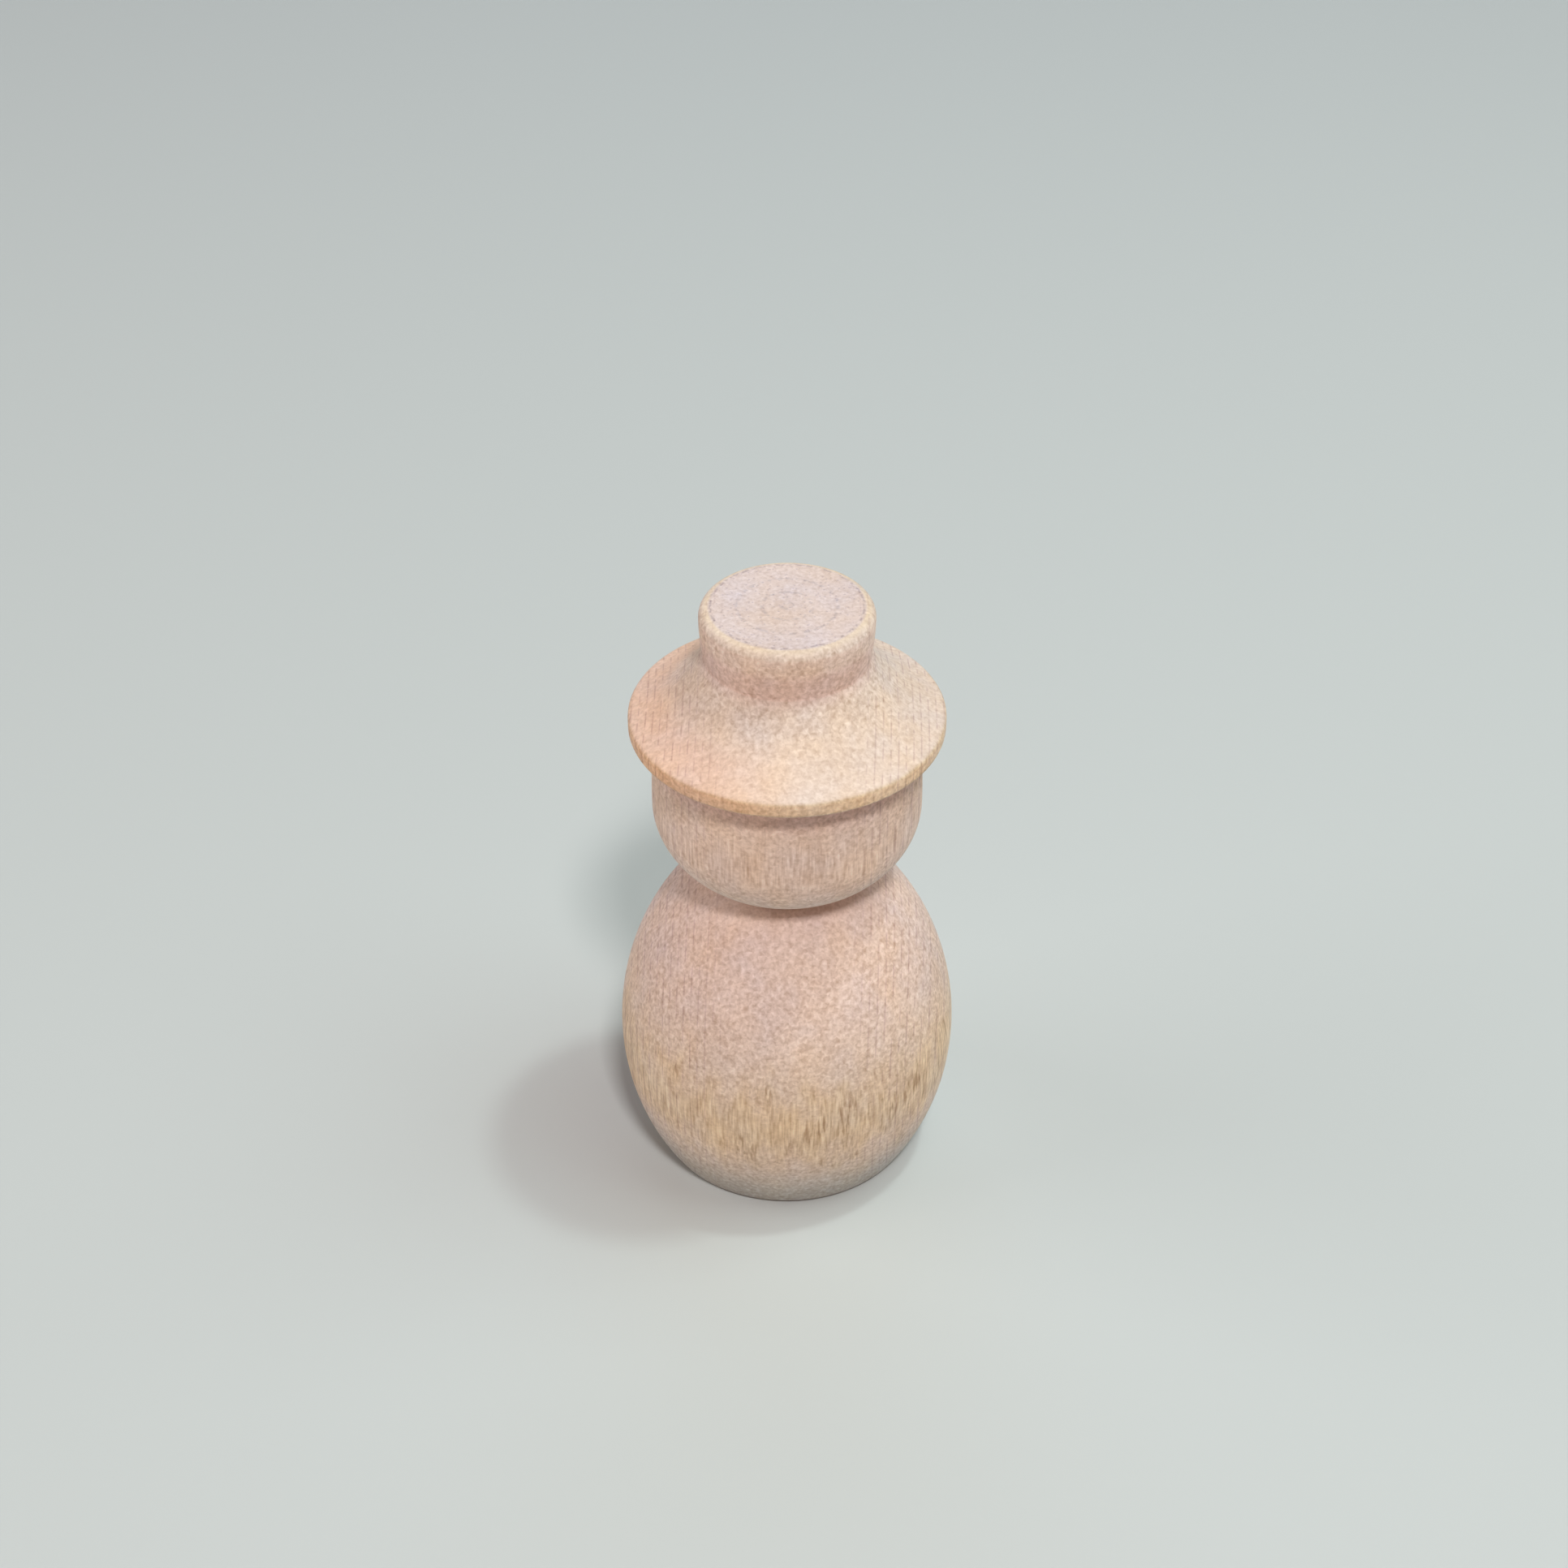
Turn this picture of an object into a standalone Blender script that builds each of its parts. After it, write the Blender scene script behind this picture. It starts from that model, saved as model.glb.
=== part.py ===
"""Turned wooden peg figure with a brimmed hat: body, head and hat as three turned pieces.

The three pieces stand on one another along +Z. Each lower piece carries a short round
spigot that sits in a socket of the piece above it. The origin is the middle of the flat
base, and all sizes are in metres.
"""

from math import acos, asin, atan2, cos, hypot, pi, radians, sin, sqrt

import bpy

# ---------------------------------------------------------------- driving dimensions
COLLECTION = "wooden_peg_figure"

# body: the lower bulb
BODY_HEIGHT = 0.0322          # base to the shoulder that carries the head
BODY_RADIUS = 0.0159          # at the widest place
BODY_WIDEST = 0.0131          # height of the widest place
BODY_BASE_RADIUS = 0.0123     # where the side would meet the base if its edge were sharp
BODY_BASE_ROUND = 0.0005      # softened edge around the base
BODY_NECK_RADIUS = 0.00744    # shoulder face

# head: the middle bulb
HEAD_HEIGHT = 0.01475         # lower face to the face under the hat
HEAD_RADIUS = 0.0123
HEAD_WIDEST = 0.00695         # above the head's lower face
HEAD_NECK_RADIUS = 0.00754    # lower face
HEAD_TOP_RADIUS = 0.0119      # face under the hat

# hat: brim and crown in one piece
HAT_HEIGHT = 0.01245          # underside of the brim to the top of the crown
BRIM_RADIUS = 0.0142
BRIM_EDGE = 0.0016            # thickness of the brim at its rim
BRIM_ROUND_TOP = 0.00045
BRIM_ROUND_BOTTOM = 0.0003
CROWN_RADIUS = 0.00775        # just below the rounded edge of the flat top
CROWN_ROUND = 0.0010          # rounded edge around the flat top
CROWN_TAPER = 0.00035         # the crown's radius is this much less at its foot
CROWN_FOOT = 0.0076           # height above the brim's underside where the flare starts
FLARE_RADIUS = 0.0105         # hollow curve from the crown's foot to the rim

# joints between the pieces
SEAT_GAP = 0.0003             # glue line between two faces
SPIGOT_RADIUS = 0.0030
SPIGOT_CHAMFER = 0.0005
SPIGOT_CLEARANCE = 0.0003     # all round, between spigot and socket
NECK_SPIGOT = 0.0080          # length of the body's spigot
HAT_SPIGOT = 0.0060           # length of the head's spigot
SOCKET_END_GAP = 0.0008       # space past the end of a spigot

# fineness
SIDES = 72                    # facets around the axis
ARC_STEP = radians(7.5)       # turn of an outline between two points

# heights of the two seats
HEAD_SEAT = BODY_HEIGHT + SEAT_GAP
HAT_SEAT = HEAD_SEAT + HEAD_HEIGHT + SEAT_GAP
SOCKET_RADIUS = SPIGOT_RADIUS + SPIGOT_CLEARANCE

# bare birch, in linear colour: the hat is the palest, the body the rosiest
BODY_COLOUR = (0.56, 0.39, 0.30)
HEAD_COLOUR = (0.52, 0.38, 0.30)
HAT_COLOUR = (0.70, 0.53, 0.41)
WOOD_ROUGHNESS = 0.62


# ---------------------------------------------------------------- outline helpers
def arc(centre, radius, start, end):
    """Points (r, z) on a circle from angle start to angle end, both ends included."""
    count = max(1, round(abs(end - start) / ARC_STEP))
    turns = [start + (end - start) * i / count for i in range(count + 1)]
    return [(centre[0] + radius * cos(a), centre[1] + radius * sin(a)) for a in turns]


def bulge_radius(reach, drop):
    """Radius of the arc that starts upright and turns in by reach over the length drop."""
    return (drop ** 2 + reach ** 2) / (2 * reach)


def egg_side(radius, widest, end_radius, end_height, points=9):
    """Part of an ellipse centred on the axis, from the widest place to a face."""
    run = end_height - widest
    half_height = run / sqrt(1 - (end_radius / radius) ** 2)
    last = acos(end_radius / radius)
    turns = [last * i / points for i in range(points + 1)]
    return [(radius * cos(a), widest + half_height * sin(a)) for a in turns]


def spigot(seat, length):
    """Outline of a spigot, from its tip on the axis down to the seat it stands on."""
    tip = seat + length
    return [
        (0.0, tip),
        (SPIGOT_RADIUS - SPIGOT_CHAMFER, tip),
        (SPIGOT_RADIUS, tip - SPIGOT_CHAMFER),
        (SPIGOT_RADIUS, seat),
    ]


def socket(length):
    """Outline of a socket in a lower face at height 0, from its mouth to the axis."""
    # the spigot starts one glue line below this face
    depth = length - SEAT_GAP + SOCKET_END_GAP
    return [(SOCKET_RADIUS, 0.0), (SOCKET_RADIUS, depth), (0.0, depth)]


# ---------------------------------------------------------------- outlines of the pieces
def body_outline():
    """Spigot, shoulder, one long bulging side and the softened base edge."""
    upper = bulge_radius(BODY_RADIUS - BODY_NECK_RADIUS, BODY_HEIGHT - BODY_WIDEST)
    lower = bulge_radius(BODY_RADIUS - BODY_BASE_RADIUS, BODY_WIDEST)
    shoulder_angle = asin((BODY_HEIGHT - BODY_WIDEST) / upper)
    side = arc((BODY_RADIUS - upper, BODY_WIDEST), upper, shoulder_angle, 0.0)

    # the base edge is a small arc that touches the side from inside and the base from above
    side_x = BODY_RADIUS - lower
    rise = BODY_WIDEST - BODY_BASE_ROUND
    edge_x = side_x + sqrt((lower - BODY_BASE_ROUND) ** 2 - rise ** 2)
    touch = atan2(-rise, edge_x - side_x)
    side += arc((side_x, BODY_WIDEST), lower, 0.0, touch)[1:]
    edge = arc((edge_x, BODY_BASE_ROUND), BODY_BASE_ROUND, touch, -pi / 2)[1:]
    return spigot(BODY_HEIGHT, NECK_SPIGOT) + side + edge + [(0.0, 0.0)]


def head_outline():
    """Spigot, face under the hat, egg-shaped side, lower face and socket."""
    above = egg_side(HEAD_RADIUS, HEAD_WIDEST, HEAD_TOP_RADIUS, HEAD_HEIGHT, points=4)
    below = egg_side(HEAD_RADIUS, HEAD_WIDEST, HEAD_NECK_RADIUS, 0.0)
    return spigot(HEAD_HEIGHT, HAT_SPIGOT) + above[::-1] + below[1:] + socket(NECK_SPIGOT)


def hat_outline():
    """Flat top, rounded edge, wall leaning in to its foot, hollow flare, rim, underside, socket."""
    wall_top = HAT_HEIGHT - CROWN_ROUND
    top = arc((CROWN_RADIUS - CROWN_ROUND, wall_top), CROWN_ROUND, pi / 2, 0.0)
    lean = bulge_radius(CROWN_TAPER, wall_top - CROWN_FOOT)
    wall = arc((CROWN_RADIUS - lean, wall_top), lean, 0.0, -asin((wall_top - CROWN_FOOT) / lean))

    # the flare starts at the crown's foot and touches the rounding of the rim from outside
    foot_r = CROWN_RADIUS - CROWN_TAPER
    rim_r, rim_z = BRIM_RADIUS - BRIM_ROUND_TOP, BRIM_EDGE - BRIM_ROUND_TOP
    out, down = rim_r - foot_r, CROWN_FOOT - rim_z
    span = hypot(out, down)
    along = (FLARE_RADIUS ** 2 - (FLARE_RADIUS + BRIM_ROUND_TOP) ** 2 + span ** 2) / (2 * span)
    aside = sqrt(FLARE_RADIUS ** 2 - along ** 2)
    flare_r = foot_r + (along * out + aside * down) / span
    flare_z = CROWN_FOOT + (aside * out - along * down) / span
    start = atan2(CROWN_FOOT - flare_z, foot_r - flare_r)
    meet = atan2(flare_z - rim_z, flare_r - rim_r)
    flare = arc((flare_r, flare_z), FLARE_RADIUS, start, meet - pi)
    rim_top = arc((rim_r, rim_z), BRIM_ROUND_TOP, meet, 0.0)
    rim_bottom = arc((BRIM_RADIUS - BRIM_ROUND_BOTTOM, BRIM_ROUND_BOTTOM), BRIM_ROUND_BOTTOM,
                     0.0, -pi / 2)
    outline = [(0.0, HAT_HEIGHT)] + top + wall[1:] + flare[1:] + rim_top[1:] + rim_bottom
    return outline + socket(HAT_SPIGOT)


# ---------------------------------------------------------------- building
def wood(name, colour):
    """Bare sanded wood."""
    material = bpy.data.materials.new(name)
    material.use_nodes = True
    shader = material.node_tree.nodes["Principled BSDF"]
    shader.inputs["Base Color"].default_value = (*colour, 1.0)
    shader.inputs["Roughness"].default_value = WOOD_ROUGHNESS
    shader.inputs["Metallic"].default_value = 0.0
    material.diffuse_color = (*colour, 1.0)
    return material


def turned(name, outline, seat, material, collection, parent):
    """Solid of revolution about Z, from an outline that runs down its outer side."""
    mesh = bpy.data.meshes.new(name + "_outline")
    corners = [(r, 0.0, z) for r, z in outline]
    mesh.from_pydata(corners, [(i, i + 1) for i in range(len(corners) - 1)], [])
    blank = bpy.data.objects.new(name + "_blank", mesh)
    collection.objects.link(blank)

    screw = blank.modifiers.new("turning", "SCREW")
    screw.axis = "Z"
    screw.angle = 2 * pi
    screw.steps = SIDES
    screw.render_steps = SIDES
    screw.use_merge_vertices = True
    screw.merge_threshold = 0.00001

    # the turned surface becomes the piece's own mesh, so that its edges can be marked sharp
    bpy.context.view_layer.update()
    turned_blank = blank.evaluated_get(bpy.context.evaluated_depsgraph_get())
    surface = bpy.data.meshes.new_from_object(turned_blank)
    surface.name = name
    surface.shade_smooth()
    surface.set_sharp_from_angle(angle=radians(35))
    surface.materials.clear()
    surface.materials.append(material)
    bpy.data.objects.remove(blank)
    bpy.data.meshes.remove(mesh)

    piece = bpy.data.objects.new(name, surface)
    collection.objects.link(piece)
    piece.parent = parent
    piece.location = (0.0, 0.0, seat)
    return piece


def main():
    for item in list(bpy.data.objects):
        bpy.data.objects.remove(item)

    collection = bpy.data.collections.new(COLLECTION)
    bpy.context.scene.collection.children.link(collection)
    stand = bpy.data.objects.new("figure_axis", None)
    stand.empty_display_size = BODY_RADIUS
    collection.objects.link(stand)

    body_wood = wood("body_wood", BODY_COLOUR)
    head_wood = wood("head_wood", HEAD_COLOUR)
    hat_wood = wood("hat_wood", HAT_COLOUR)
    turned("body", body_outline(), 0.0, body_wood, collection, stand)
    turned("head", head_outline(), HEAD_SEAT, head_wood, collection, stand)
    turned("hat", hat_outline(), HAT_SEAT, hat_wood, collection, stand)


main()
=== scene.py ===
# %% [markdown]
# # A turned wooden peg figure, finished for rendering
#
# The figure is bare birch, cut on a lathe: a bulbous body, a rounded head and a hat
# with a brim and a short flat-topped crown. The plain solids of the three pieces come
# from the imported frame. This lesson makes the fine surfaces that are seen, gives them
# a wood whose fibres stand upright in all three, and sets up a camera, a floor and soft
# lights.

# %% Load the frame
import math

import bpy
import numpy as np
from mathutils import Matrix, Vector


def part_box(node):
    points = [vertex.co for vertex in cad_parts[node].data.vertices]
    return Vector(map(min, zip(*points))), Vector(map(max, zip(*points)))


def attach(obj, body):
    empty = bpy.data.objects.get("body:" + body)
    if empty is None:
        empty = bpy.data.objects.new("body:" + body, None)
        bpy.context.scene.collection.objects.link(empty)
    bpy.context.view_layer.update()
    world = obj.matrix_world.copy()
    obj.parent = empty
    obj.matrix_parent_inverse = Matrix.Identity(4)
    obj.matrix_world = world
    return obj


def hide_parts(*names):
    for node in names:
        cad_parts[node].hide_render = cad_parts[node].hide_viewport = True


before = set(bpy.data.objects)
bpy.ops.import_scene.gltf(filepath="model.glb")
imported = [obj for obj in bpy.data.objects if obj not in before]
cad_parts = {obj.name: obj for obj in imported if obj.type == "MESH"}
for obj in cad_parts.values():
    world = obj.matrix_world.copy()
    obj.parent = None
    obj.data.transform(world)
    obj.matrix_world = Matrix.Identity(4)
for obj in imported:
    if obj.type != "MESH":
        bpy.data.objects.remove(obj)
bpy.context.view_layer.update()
MM = 0.001
print("frame nodes:", sorted(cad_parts))

# %% [markdown]
# ## Where the pieces are
#
# The three plain solids stand on one another. Their boxes give the two seats, the
# base and the top, so the fine pieces take their places from the frame.

# %% Seats and heights
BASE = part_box("body")[0].z
HEAD_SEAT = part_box("head")[0].z
HAT_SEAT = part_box("hat")[0].z
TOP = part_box("hat")[1].z
SEAM = 0.3 * MM  # glue line between two pieces
BODY_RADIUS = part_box("body")[1].x
HEAD_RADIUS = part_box("head")[1].x
BRIM_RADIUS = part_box("hat")[1].x
print(f"head seat {HEAD_SEAT / MM:.2f} mm, hat seat {HAT_SEAT / MM:.2f} mm, top {TOP / MM:.2f} mm")

# %% [markdown]
# ## Outlines as arcs
#
# A turner checks a shape against a template made of a few arcs. A Bezier curve could be
# drawn by eye instead, but an arc needs only a radius and its ends, and it follows when
# a piece changes size. So each outline here is arcs and short flats, joined end to end,
# and then resampled so that points are evenly spaced along it.


# %% Arc and ellipse helpers
SAME_POINT = 1e-9  # metres; where two arcs join, the second of two equal points is dropped


def arc(centre, radius, start, end, count):
    """Circle: centre plus radius times (cos a, sin a), a running from start to end."""
    a = np.linspace(start, end, count)
    return np.column_stack([centre[0] + radius * np.cos(a), centre[1] + radius * np.sin(a)])


def egg_side(radius, widest, end_radius, end_height, count=80):
    """Ellipse about the axis: r = radius cos a, z = widest + b sin a, up to end_radius."""
    half_height = (end_height - widest) / math.sqrt(1 - (end_radius / radius) ** 2)
    a = np.linspace(0, math.acos(end_radius / radius), count)
    return np.column_stack([radius * np.cos(a), widest + half_height * np.sin(a)])


def resample(points, spacing):
    """Points at equal steps along the polyline, by interpolating on its running length."""
    step = np.hypot(*np.diff(points, axis=0).T)
    points = points[np.r_[True, step > SAME_POINT]]
    run = np.r_[0, np.cumsum(np.hypot(*np.diff(points, axis=0).T))]
    count = max(2, int(round(run[-1] / spacing)) + 1)
    at = np.linspace(0, run[-1], count)
    return np.column_stack([np.interp(at, run, points[:, 0]), np.interp(at, run, points[:, 1])])

# %% [markdown]
# ## Body
#
# The body is the large lower bulb, widest below its middle, with a flat base to stand
# on. A sphere could be stretched and cut flat, but the lathe tool makes one long sweep
# above the widest place and another below it. Two arcs that are both upright where they
# meet give the same side with no crease. The base edge is softened, as sandpaper does.


# %% Body outline
def body_outline():
    """Shoulder, one long bulging side, a softened base edge and the flat base."""
    shoulder = HEAD_SEAT - SEAM
    widest, neck, foot, soften = 13.1 * MM, 7.44 * MM, 12.3 * MM, 0.5 * MM
    rise = shoulder - widest
    upper = (rise**2 + (BODY_RADIUS - neck) ** 2) / (2 * (BODY_RADIUS - neck))
    lower = (widest**2 + (BODY_RADIUS - foot) ** 2) / (2 * (BODY_RADIUS - foot))
    side = arc((BODY_RADIUS - upper, widest), upper, math.asin(rise / upper), 0, 160)
    lower_centre = BODY_RADIUS - lower
    reach = math.sqrt((lower - soften) ** 2 - (widest - soften) ** 2)
    touch = math.atan2(soften - widest, reach)
    under = arc((lower_centre, widest), lower, 0, touch, 120)
    edge = arc((lower_centre + reach, soften), soften, touch, -math.pi / 2, 20)
    return np.vstack([[[0, shoulder]], side, under, edge, [[0, BASE]]])


body_line = body_outline()
print("body outline points:", len(body_line))

# %% [markdown]
# ## Head
#
# The head is the middle bulb. It is nearly as wide under the brim as in its middle, and
# draws in to a narrow neck below. One ball would be too round for it. Half an ellipse
# above the widest place and another below it, each with a height of its own, give this
# egg shape and still meet smoothly.


# %% Head outline
def head_outline():
    """Face under the hat, egg-shaped side and the lower face at the neck."""
    top = HAT_SEAT - SEAM
    widest, under_brim, neck = HEAD_SEAT + 6.95 * MM, 11.9 * MM, 7.54 * MM
    above = egg_side(HEAD_RADIUS, widest, under_brim, top)[::-1]
    below = egg_side(HEAD_RADIUS, widest, neck, HEAD_SEAT)
    return np.vstack([[[0, top]], above, below, [[0, HEAD_SEAT]]])


head_line = head_outline()
print("head outline points:", len(head_line))

# %% [markdown]
# ## Hat
#
# Crown and brim are turned in one: a flat top, a wall that leans in to a crease at its
# foot, a hollow flare, and a thin rim over a flat underside. A cylinder joined to a disc
# would miss the flare, which gives this hat its look, so the whole hat is one outline.
# The flare starts at the foot and has to run into the rounded rim without a step. With
# its radius, these two conditions fix where its centre is.


# %% Hat outline
def hat_outline():
    """Flat top, rounded edge, wall leaning in to its foot, hollow flare, rounded rim, underside."""
    crown, crown_edge, taper, foot_height = 7.75 * MM, 1.0 * MM, 0.35 * MM, 7.6 * MM
    rim, rim_top, rim_bottom, hollow = 1.6 * MM, 0.45 * MM, 0.3 * MM, 10.5 * MM
    wall_top = TOP - crown_edge
    top = arc((crown - crown_edge, wall_top), crown_edge, math.pi / 2, 0, 30)
    foot = np.array([crown - taper, HAT_SEAT + foot_height])
    drop = wall_top - foot[1]
    lean = (drop**2 + taper**2) / (2 * taper)
    wall = arc((crown - lean, wall_top), lean, 0, -math.asin(drop / lean), 40)

    # the flare's centre is its radius from the foot, and a rim rounding more from the rim's centre
    rim_centre = np.array([BRIM_RADIUS - rim_top, HAT_SEAT + rim - rim_top])
    across = rim_centre - foot
    span = math.hypot(*across)
    along = (hollow**2 - (hollow + rim_top) ** 2 + span**2) / (2 * span)
    aside = math.sqrt(hollow**2 - along**2)
    centre = foot + (along * across + aside * np.array([-across[1], across[0]])) / span
    start = math.atan2(*(foot - centre)[::-1])
    meet = math.atan2(*(centre - rim_centre)[::-1])
    flare = arc(centre, hollow, start, meet - math.pi, 100)
    upper = arc(rim_centre, rim_top, meet, 0, 24)
    lower = arc((BRIM_RADIUS - rim_bottom, HAT_SEAT + rim_bottom), rim_bottom, 0, -math.pi / 2, 20)
    slope = 90 - math.degrees(meet)
    print(f"flare slope {slope:.1f} degrees at the rim, foot {foot[0] / MM:.2f} mm from the axis")
    return np.vstack([[[0, TOP]], top, wall, flare, upper, lower, [[0, HAT_SEAT]]])


hat_line = hat_outline()
print("hat outline points:", len(hat_line))

# %% [markdown]
# ## Turning the outlines
#
# A lathe makes a surface of revolution: the point at height z and radius r goes to
# (r cos t, r sin t, z). The Screw modifier makes one too, but building the grid here
# also gives every point a number for how the wood is cut there, which the shader needs.
# The grid has one row for each outline point and one column for each angle, and a
# single vertex closes each pole.


# %% Turned surface
CREASE = math.radians(40)  # edges that turn by more than this stay crisp


def turned(name, outline, sides, spacing):
    """Surface of revolution x = r cos t, y = r sin t, z = z over a grid of outline by angle."""
    line = resample(outline, spacing)
    rings = line[1:-1]
    t = np.arange(sides) * 2 * math.pi / sides
    x = rings[:, :1] * np.cos(t)
    y = rings[:, :1] * np.sin(t)
    z = np.repeat(rings[:, 1:], sides, axis=1)
    grid = np.stack([x, y, z], axis=-1).reshape(-1, 3)
    poles = np.array([[0, 0, line[0, 1]], [0, 0, line[-1, 1]]])
    points = np.vstack([grid, poles])

    here = np.arange(len(grid)).reshape(len(rings), sides)
    right = np.roll(here, -1, axis=1)
    quads = np.stack([here[:-1], here[1:], right[1:], right[:-1]], axis=-1).reshape(-1, 4)
    top, bottom = len(grid), len(grid) + 1
    cap = np.stack([np.full(sides, top), here[0], right[0]], axis=-1)
    foot = np.stack([here[-1], np.full(sides, bottom), right[-1]], axis=-1)

    mesh = bpy.data.meshes.new(name)
    mesh.from_pydata(points, [], [*quads.tolist(), *cap.tolist(), *foot.tolist()])
    mesh.shade_smooth()
    mesh.set_sharp_from_angle(angle=CREASE)

    # how far the surface is cut across the fibres: 0 on an upright side, 1 on a level face
    run = np.gradient(line, axis=0)
    across = np.abs(run[:, 0]) / np.hypot(run[:, 0], run[:, 1])
    across = np.r_[np.repeat(across[1:-1], sides), across[0], across[-1]]
    mesh.attributes.new("across", "FLOAT", "POINT").data.foreach_set("value", across)

    piece = bpy.data.objects.new(name, mesh)
    bpy.context.scene.collection.objects.link(piece)
    print(f"{name}: {len(points)} points, {len(mesh.polygons)} faces")
    return piece


# %% [markdown]
# ## The three pieces
#
# Sanded wood shows no facets. A coarse mesh with a Subdivision modifier would look
# smooth too, but it would also round off the crease at the crown's foot. So the meshes
# themselves are fine, and finest on the hat, which has the smallest roundings.

# %% The three pieces
SIDES = 360  # each is 0.28 mm wide where the body is widest
pieces = {
    "body": turned("turned_body", body_line, SIDES, 0.35 * MM),
    "head": turned("turned_head", head_line, SIDES, 0.25 * MM),
    "hat": turned("turned_hat", hat_line, SIDES, 0.20 * MM),
}

# %% [markdown]
# ## Writing a shader as sums
#
# Wood is easier to think of as arithmetic than as boxes and wires: a shade is some
# fibre, plus some speckle, less some pores. The same could be wired by hand from dozens
# of Math nodes, but it would be slow to read and to change. The small class below wraps
# one socket of a material instead, so that + - and * between two of them add the Math
# nodes. A recipe holds one material, and its one method makes every other node.


# %% A number that varies over the surface
class Amount:
    """One output socket; arithmetic on it adds Math nodes to its recipe."""

    def __init__(self, recipe, socket):
        self.recipe, self.socket = recipe, socket

    def math(self, operation, *operands):
        return self.recipe.node("ShaderNodeMath", {"operation": operation}, dict(enumerate(operands)))

    def __add__(self, other):
        return self.math("ADD", self, other)

    def __sub__(self, other):
        return self.math("SUBTRACT", self, other)

    def __rsub__(self, other):
        return self.math("SUBTRACT", other, self)

    def __mul__(self, other):
        return self.math("MULTIPLY", self, other)

    def __pow__(self, other):
        return self.math("POWER", self, other)

    def __abs__(self):
        return self.math("ABSOLUTE", self)

    def between(self, low, high):
        """0 at low, 1 at high and a smooth S in between; low may be the larger."""
        settings = {"interpolation_type": "SMOOTHSTEP", "clamp": True}
        sockets = {"Value": self, "From Min": low, "From Max": high}
        return self.recipe.node("ShaderNodeMapRange", settings, sockets)


# %% A material as a recipe
MIX_FACTOR, MIX_FIRST, MIX_SECOND, MIX_RESULT = 0, 6, 7, 2  # a Mix node's sockets for colours


class Recipe:
    """The nodes of one material or world; every node comes from node()."""

    def __init__(self, owner):
        self.owner = owner
        owner.use_nodes = True
        self.tree = owner.node_tree
        self.tree.nodes.clear()

    def node(self, kind, settings=None, sockets=None, output=0):
        """A node with its settings made first, then its sockets set or linked.

        Sockets and the output go by name, or by number where two share a name.
        """
        made = self.tree.nodes.new(kind)
        for name, value in (settings or {}).items():
            setattr(made, name, value)
        for key, value in (sockets or {}).items():
            if isinstance(value, Amount):
                self.tree.links.new(value.socket, made.inputs[key])
            else:
                made.inputs[key].default_value = value
        return Amount(self, made.outputs[output]) if made.outputs else None

    def mix(self, factor, first, second):
        """Colour first where factor is 0, second where it is 1."""
        settings = {"data_type": "RGBA", "clamp_factor": True}
        first, second = (c if isinstance(c, Amount) else (*c, 1) for c in (first, second))
        sockets = {MIX_FACTOR: factor, MIX_FIRST: first, MIX_SECOND: second}
        return self.node("ShaderNodeMix", settings, sockets, MIX_RESULT)

    def tint(self, colour, amount, strength):
        """Colour times 1 + amount * strength, channel by channel."""
        parts = {i: amount * part + 1.0 for i, part in enumerate(strength)}
        factor = self.node("ShaderNodeCombineXYZ", None, parts)
        return self.node("ShaderNodeVectorMath", {"operation": "MULTIPLY"}, {0: colour, 1: factor})

    def paint(self, colour, finish):
        """Principled shader of that colour with the finish's sockets, as the material's surface."""
        shader = self.node("ShaderNodeBsdfPrincipled", None, {"Base Color": colour} | finish)
        self.node("ShaderNodeOutputMaterial", None, {"Surface": shader})
        print(f"{self.owner.name}: {len(self.tree.nodes)} nodes")
        return self.owner


# %% [markdown]
# ## Textures that run through the wood
#
# Birch has long fibres that run up the figure, growth layers that stand upright like
# nearly flat sheets, and fine pores. They could be drawn on each surface, but then they
# wouldn't meet at an edge. Textures made in space do: where the side is upright the
# fibres are cut along their length and show as streaks, and where it slopes or is level
# they are cut across and show as specks.


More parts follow.
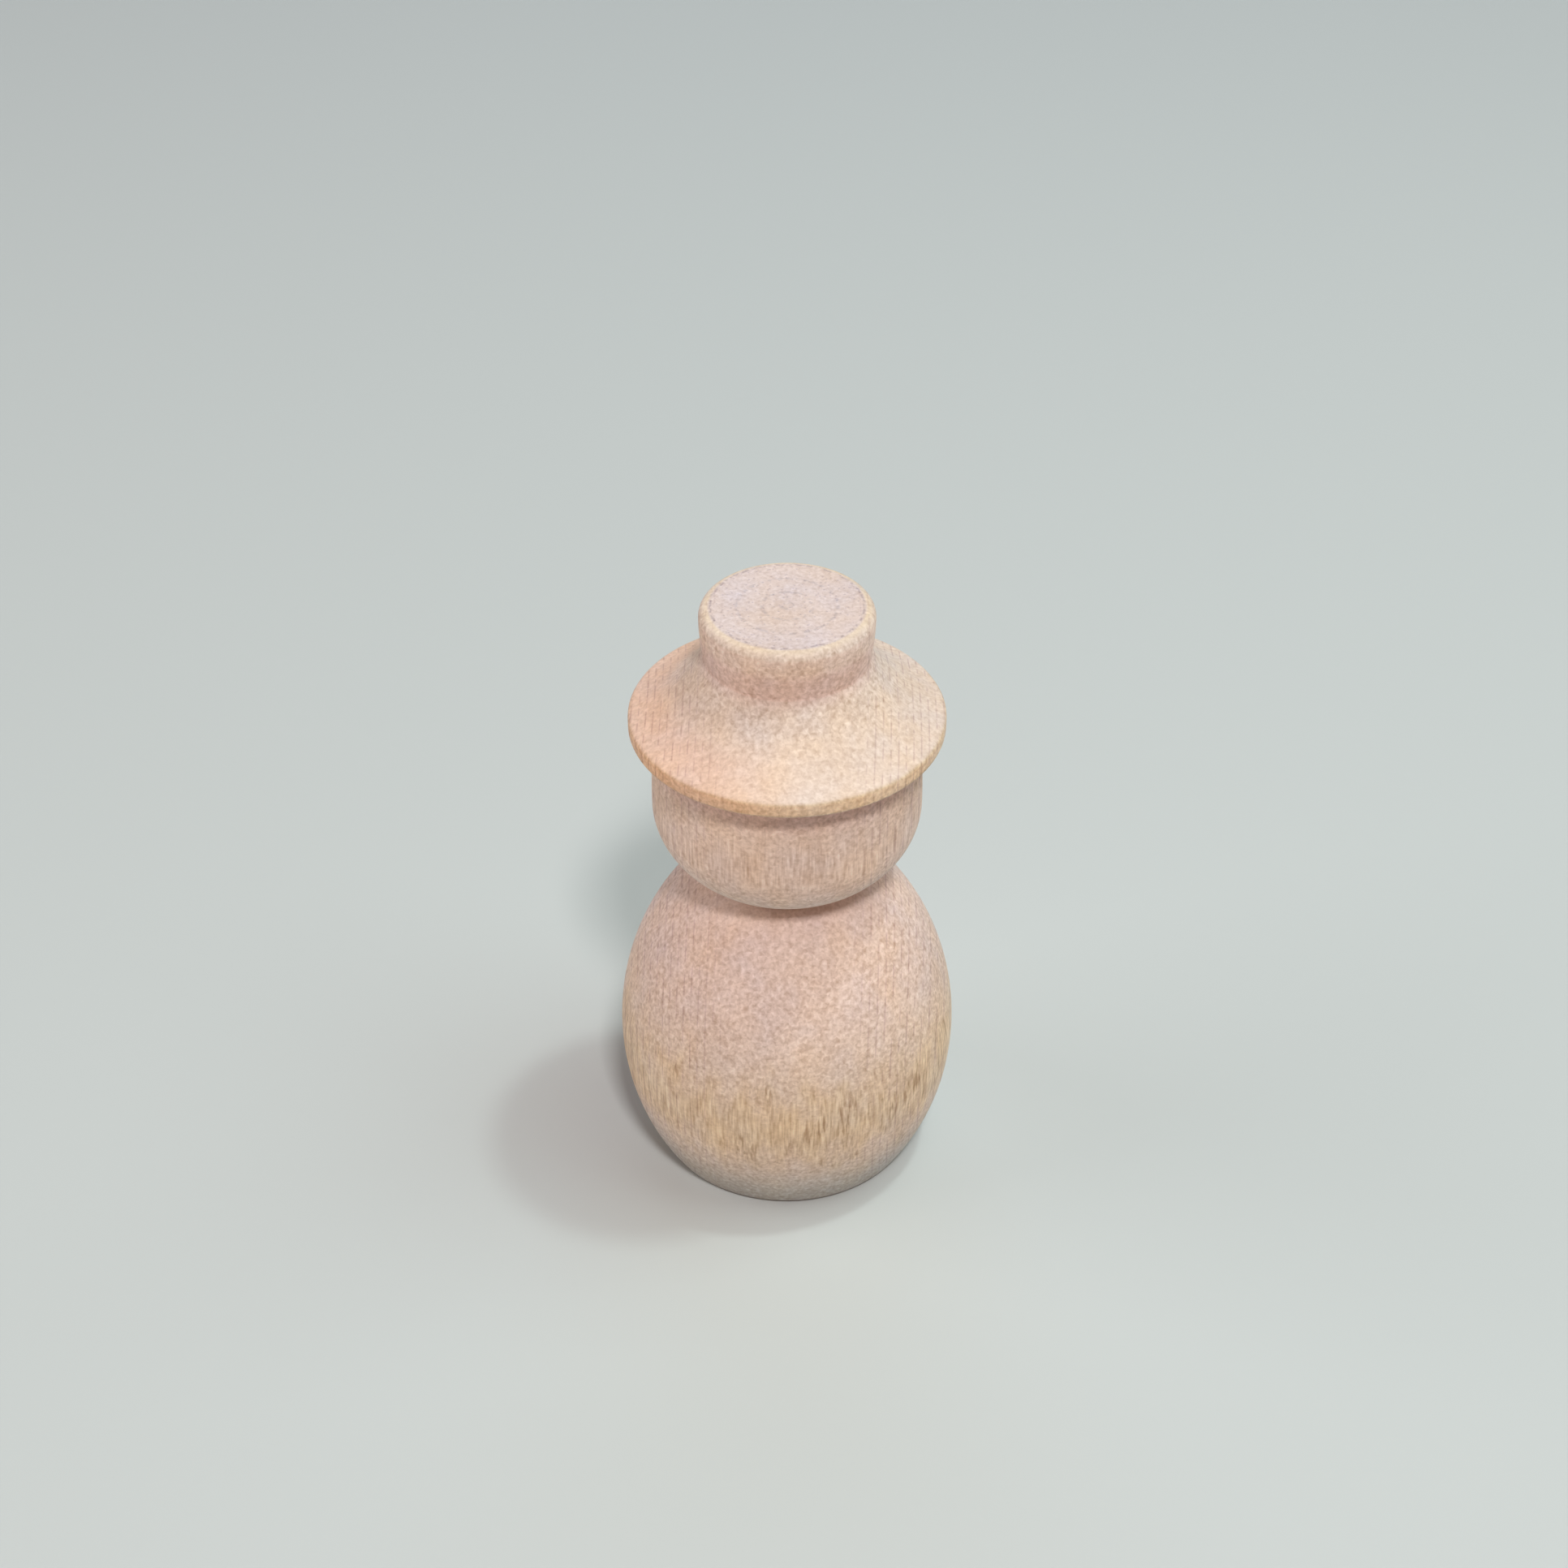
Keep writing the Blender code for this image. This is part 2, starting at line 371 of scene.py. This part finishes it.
# %% Solid textures for wood
class Wood(Recipe):
    """Textures of one piece of wood, all in millimetres from the middle of the base."""

    def __init__(self, name, shift):
        super().__init__(bpy.data.materials.new(name))
        self.shift = shift
        where = self.node("ShaderNodeTexCoord", output="Object")
        in_mm = {0: where, "Scale": 1 / MM}
        self.place = self.node("ShaderNodeVectorMath", {"operation": "SCALE"}, in_mm)
        self.x, self.y, self.z = (
            self.node("ShaderNodeSeparateXYZ", None, {"Vector": self.place}, axis) for axis in "XYZ"
        )
        self.radius = (self.x * self.x + self.y * self.y) ** 0.5
        self.across = self.node("ShaderNodeAttribute", {"attribute_name": "across"}, output="Fac")

    def stretch(self, size, place=None):
        """Place, shifted, and divided by a cell size in x, y and z."""
        sockets = {"Vector": place or self.place, "Location": self.shift}
        sockets["Scale"] = tuple(1 / s for s in size)
        return self.node("ShaderNodeMapping", None, sockets)

    def cloud(self, size, detail=1.0, rough=0.5, distort=0.0, place=None):
        """Noise about 0, from -0.5 to 0.5, with blobs of that size."""
        sockets = {"Vector": self.stretch(size, place), "Scale": 1.0, "Detail": detail}
        sockets |= {"Roughness": rough, "Distortion": distort}
        return self.node("ShaderNodeTexNoise", None, sockets) - 0.5

    def pores(self, size):
        """1 at scattered points and 0 between them; size is that of one point's cell.

        A point fades out between 0.12 and 0.26 of a cell from its middle.
        """
        sockets = {"Vector": self.stretch(size), "Scale": 1.0, "Randomness": 1.0}
        return self.node("ShaderNodeTexVoronoi", None, sockets).between(0.26, 0.12)

    def layers(self, spacing, width):
        """Lines where upright sheets meet the surface; width is a share of spacing.

        The sheets wave a little and are slightly cupped, as x + noise + 0.003 y y.
        """
        wave = self.cloud((9, 30, 60)) * 0.9 + self.y * self.y * 0.003
        turn = (self.x + wave) * (1 / spacing)
        return turn.math("PINGPONG", turn, 0.5).between(width, 0.0)

    def turning(self, spacing):
        """Noise of radius and height alone, the same all round: the tool's faint ridges."""
        place = self.node("ShaderNodeCombineXYZ", None, {"X": self.radius, "Z": self.z})
        return self.cloud((spacing, spacing, spacing), place=place)

    def ring(self, radius, width):
        """1 on a circle about the axis, falling to 0 at width away."""
        return abs(self.radius - radius).between(width, 0.0)

    def band(self, low, high, soften):
        """1 between two heights, with uneven edges that soften over that many millimetres."""
        height = self.z + self.cloud((2.2, 2.2, 4.5), detail=2.0) * 12.0
        return height.between(low - soften, low + soften) * height.between(high + soften, high - soften)


# %% [markdown]
# ## Bare birch
#
# The wood has no stain or varnish. Where it is cut along its length it is golden with
# brown streaks, on a slope it is rosier and speckled, and on the level top, which is
# end grain, it is a cool grey-pink. Each piece mixes three such tones by how far its
# surface is cut across the fibres. Everything else is a small tint up or down, because
# a few percent is all that real birch shows. A light sheen stands for the fine fuzz
# that sanding leaves.

# %% Finish of sanded wood
# the grain stands up by only about a hundredth of a millimetre
SANDED = {"IOR": 1.45, "Specular IOR Level": 0.35, "Sheen Weight": 0.12, "Sheen Roughness": 0.4}
BUMP = {"Strength": 0.30, "Distance": 0.08 * MM}


# %% Birch for one piece
def birch(name, tones, shift, streaky, marks_and_painted_light):
    """Bare birch; tones are for an upright side, a slope and end grain.

    Fibres show as streaks between the two heights of streaky, or nowhere if it is None.
    """
    w = Wood(name, shift)

    # how the surface is cut, and where fibres show along their length
    slope = w.across.between(0.08, 0.50)
    level = w.across.between(0.965, 0.995)
    along = (1 - slope) * (w.band(*streaky, 2.5) if streaky else 0.0)
    calm = 1 - w.across.between(0.45, 0.95) * 0.42

    # what the wood holds, from fine to coarse, with cell sizes in millimetres
    fibres = w.cloud((0.25, 0.25, 2.2))
    specks = w.cloud((0.42, 0.42, 0.40), detail=1.5, rough=0.6, distort=0.4)
    flecks = w.cloud((0.9, 0.18, 0.45)) * (1 - level)
    drift = w.cloud((5.0, 5.0, 6.0), detail=2.0)
    hue = w.cloud((4.0, 4.0, 5.0), detail=2.0)
    turning = w.turning(0.5)
    flank = abs(w.x).between(4.0, 9.0)  # layers show only towards the two sides
    layers = w.layers(0.70, 0.17) * w.cloud((0.9, 1.0, 2.2)).between(-0.12, 0.12) * flank
    pores = w.pores((0.50, 0.50, 2.0)) * level

    # the tone of the cut, then every tint over it
    streaks = fibres * 1.5 + specks * 0.6
    dots = (specks * 1.40 + flecks * 0.30 + fibres * 0.25) * calm
    grain = streaks * along + dots * (1 - along) + drift * 0.25 + turning * 0.08
    colour = w.mix(level, w.mix(slope, *tones[:2]), tones[2])
    colour = w.tint(colour, hue, (0.12, -0.02, -0.30))
    colour = w.tint(colour, grain, (0.62, 0.80, 0.95))
    colour = w.tint(colour, layers, (-0.20, -0.27, -0.24))
    colour = w.tint(colour, pores, (-0.18, -0.20, -0.15))
    # marks of the lathe and of the wood, then painted light and shade, all as tints
    for amount, strength in marks_and_painted_light(w):
        colour = w.tint(colour, amount, strength)

    # the same grain stands up a little, and pores and layers lie a little lower
    relief = grain * 0.5 + turning * 0.15 - pores * 0.5 - layers * 0.4
    bump = w.node("ShaderNodeBump", None, {"Height": relief} | BUMP)
    return w.paint(colour, {"Roughness": fibres * 0.10 + 0.66, "Normal": bump} | SANDED)


# %% [markdown]
# ## Marks of the lathe, and painted light and shade
#
# Edges that a turner rounds over are cut at every angle and take on a golden tone. The
# crown was faced off with a tool that came in from the side, so it keeps a broken line
# just inside its edge and faint circles nearer the middle. Painted shade darkens the
# crown's foot, the head under the brim and towards the neck, and the body towards its
# base, and a painted warm light tints the left of the brim. These could be painted as a
# mask image; a few functions of height and radius do it, and fit any size.


# %% Marks and painted light on the hat
def hat_marks_and_painted_light(w):
    """Golden rim, crown edge, circles on the flat; painted shade at the crown's foot, painted warm
    light on the left.
    """
    rim = w.radius.between(13.2, 14.15) * (1 - w.across.between(0.3, 0.95))
    edge = w.ring(7.1, 0.5) * w.z.between(58.7, 59.5)
    # painted shade: darker where the crown's wall meets the flare, in the crease and under the crown's
    # shadow
    foot = w.z.between(53.8, 55.2) * w.z.between(58.2, 57.0)
    # painted light: the brim's left is tinted orange, as warmer light from that side would tint it
    painted_warm_light = w.x.between(3.0, -9.0) * w.radius.between(8.5, 12.0)
    flat = w.z.between(59.6, 59.95)
    broken = w.cloud((0.6, 0.6, 0.6)).between(-0.06, 0.08)
    circles = w.ring(0.5, 0.3) + w.ring(2.2, 0.3) + w.ring(4.4, 0.3)
    return [
        (edge, (0.0, 0.0, -0.07)),
        (rim, (-0.02, -0.07, -0.24)),
        (foot, (-0.06, -0.10, -0.06)),
        (painted_warm_light, (0.0, -0.14, -0.20)),
        (w.ring(6.7, 0.2) * broken * flat, (-0.30, -0.33, -0.30)),
        (circles * broken * flat, (-0.18, -0.18, -0.15)),
    ]


# %% Painted shade on the head
def painted_head_shade(w):
    """Painted shade: rosier and darker under the brim, and greyer and darker towards the neck."""
    return [
        # painted shade: darker and rosier just under the brim, where the brim's shadow falls
        (w.z.between(43.5, 46.0), (-0.05, -0.12, -0.09)),
        # painted shade: the lower face is greyer and darker towards the neck, where it turns under
        (w.z.between(37.5, 34.0), (-0.12, -0.04, -0.02)),
    ]


# %% Marks and painted shade on the body
def body_marks_and_painted_shade(w):
    """Golden belly with clusters of brown streaks in it, and painted shade that greys the foot."""
    belly = w.band(9.0, 16.0, 3.0)
    streaks = w.cloud((0.28, 0.28, 2.2)).between(0.0, 0.14)
    clusters = streaks * w.cloud((2.4, 2.4, 5.0)).between(-0.05, 0.10)
    return [
        (belly, (0.0, -0.02, -0.14)),
        (belly * clusters, (-0.30, -0.38, -0.44)),
        # painted shade: greyer and darker towards the base, where little light reaches from below
        (w.z.between(9.5, 1.0), (-0.40, -0.25, -0.20)),
    ]


# %% [markdown]
# ## One wood for each piece
#
# The pieces are cut from the same kind of wood, but not from the same spot in it. One
# material could serve all three, and then the golden belly or the marks of the hat would
# need masks. Instead each piece has its own: tones that differ by a few percent, and a
# shift that takes it to another spot in the textures. Each fine piece then takes the
# place of its plain solid.

# %% A wood for each piece
woods = {
    "body": birch(
        "body_birch", ((0.84, 0.62, 0.48), (0.84, 0.61, 0.52), (0.80, 0.60, 0.50)),
        (3.1, 1.7, 0.0), (9.0, 16.0), body_marks_and_painted_shade,
    ),
    "head": birch(
        "head_birch", ((0.86, 0.62, 0.50), (0.84, 0.62, 0.52), (0.80, 0.60, 0.50)),
        (5.3, 8.1, 4.0), (38.0, 41.5), painted_head_shade,
    ),
    "hat": birch(
        "hat_birch", ((0.89, 0.65, 0.53), (0.82, 0.63, 0.52), (0.75, 0.585, 0.54)),
        (9.7, 2.9, 8.0), None, hat_marks_and_painted_light,
    ),
}
for node, piece in pieces.items():
    piece.data.materials.append(woods[node])
    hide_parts(node)
    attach(piece, "root")

# %% [markdown]
# ## Floor
#
# A plain pale floor catches the shadow that shows how the base meets it, and reflects a
# little light under the body. A curved backdrop would do as well, but a large flat
# square is enough here, because the camera looks down and never sees its edge.

# %% Floor
FLOOR_SIDE = 1.6
bpy.ops.mesh.primitive_plane_add(size=FLOOR_SIDE)
floor = bpy.context.object
floor.name = "floor"
pale_floor = Recipe(bpy.data.materials.new("pale_floor"))
floor.data.materials.append(pale_floor.paint((0.62, 0.63, 0.62, 1), {"Roughness": 0.9}))
print(f"floor: {FLOOR_SIDE} m square")

# %% [markdown]
# ## Camera
#
# The figure is small, so it is seen from above and from close by, as someone sitting at
# a table sees it. A camera far away with a long lens would flatten it and hide how much
# wider the brim looks than the base.

# %% Camera
CAMERA_PLACE = (-0.28 * MM, -202.8 * MM, 191.0 * MM)
CAMERA_TILT = 36.53  # degrees below level
SENSOR_WIDTH, FOCAL_LENGTH = 36, 63.8  # millimetres
camera_data = bpy.data.cameras.new("camera")
camera_data.sensor_width = SENSOR_WIDTH
camera_data.lens = FOCAL_LENGTH
camera = bpy.data.objects.new("camera", camera_data)
camera.location = CAMERA_PLACE
camera.rotation_euler = (math.radians(90 - CAMERA_TILT), 0, 0)
bpy.context.scene.collection.objects.link(camera)
bpy.context.scene.camera = camera
print(f"camera {math.hypot(*CAMERA_PLACE) / MM:.0f} mm from the base")

# %% [markdown]
# ## Lights
#
# A room gives such a figure two main lights and a lot of soft fill. One small light
# high up makes the crown's short shadow on the brim, and one in front keeps the face of
# the body bright. Three large ones from the sides and the back stand for walls and
# windows. A picture of a room wrapped round the scene could light it too, but each of
# these lights can be moved or dimmed by itself.

# %% Lights
LIGHT_DISTANCE = 0.8  # metres
FIGURE_MIDDLE = TOP / 2


def soft_light(name, azimuth, elevation, size, watts, colour):
    """Square light at a bearing from +X and a height angle in degrees, facing the figure."""
    data = bpy.data.lights.new(name, "AREA")
    data.size, data.energy, data.color = size, watts, colour
    light = bpy.data.objects.new(name, data)
    a, e = math.radians(azimuth), math.radians(elevation)
    away = np.array([math.cos(a) * math.cos(e), math.sin(a) * math.cos(e), math.sin(e)])
    light.location = away * LIGHT_DISTANCE + np.array([0, 0, FIGURE_MIDDLE])
    light.rotation_euler = (math.pi / 2 - e, 0, a + math.pi / 2)
    bpy.context.scene.collection.objects.link(light)


soft_light("overhead", 10, 74, 0.05, 1.1, (0.85, 1.0, 0.98))
soft_light("front", -80, 54, 0.10, 2.85, (1.0, 1.0, 1.0))
soft_light("left", 180, 25, 0.6, 1.8, (0.95, 1.0, 1.0))
soft_light("right", 0, 62, 0.6, 2.8, (0.77, 0.97, 0.97))
soft_light("back", 90, 35, 0.6, 1.0, (0.5, 0.75, 1.0))

# %% [markdown]
# ## World
#
# Light that bounces between pieces of bare wood warms the shadows. More bounces and
# walls could do this, but a faint warm glow from all round is simpler. Where the camera
# looks past the floor it shouldn't see that glow, so it sees a plain pale backdrop, which
# gives no light. The Standard view transform shows the wood's colours as they are, where
# Blender's usual one would grey them.

# %% World
studio = Recipe(bpy.data.worlds.new("studio"))
glow = studio.node("ShaderNodeBackground", None, {"Color": (1.0, 0.45, 0.2, 1), "Strength": 0.12})
backdrop = studio.node("ShaderNodeBackground", None, {"Color": (0.56, 0.60, 0.60, 1), "Strength": 1.0})
seen = studio.node("ShaderNodeLightPath", output="Is Camera Ray")
both = studio.node("ShaderNodeMixShader", None, {0: seen, 1: glow, 2: backdrop})
studio.node("ShaderNodeOutputWorld", None, {"Surface": both})
bpy.context.scene.world = studio.owner
bpy.context.scene.view_settings.view_transform = "Standard"
print("world:", studio.owner.name)
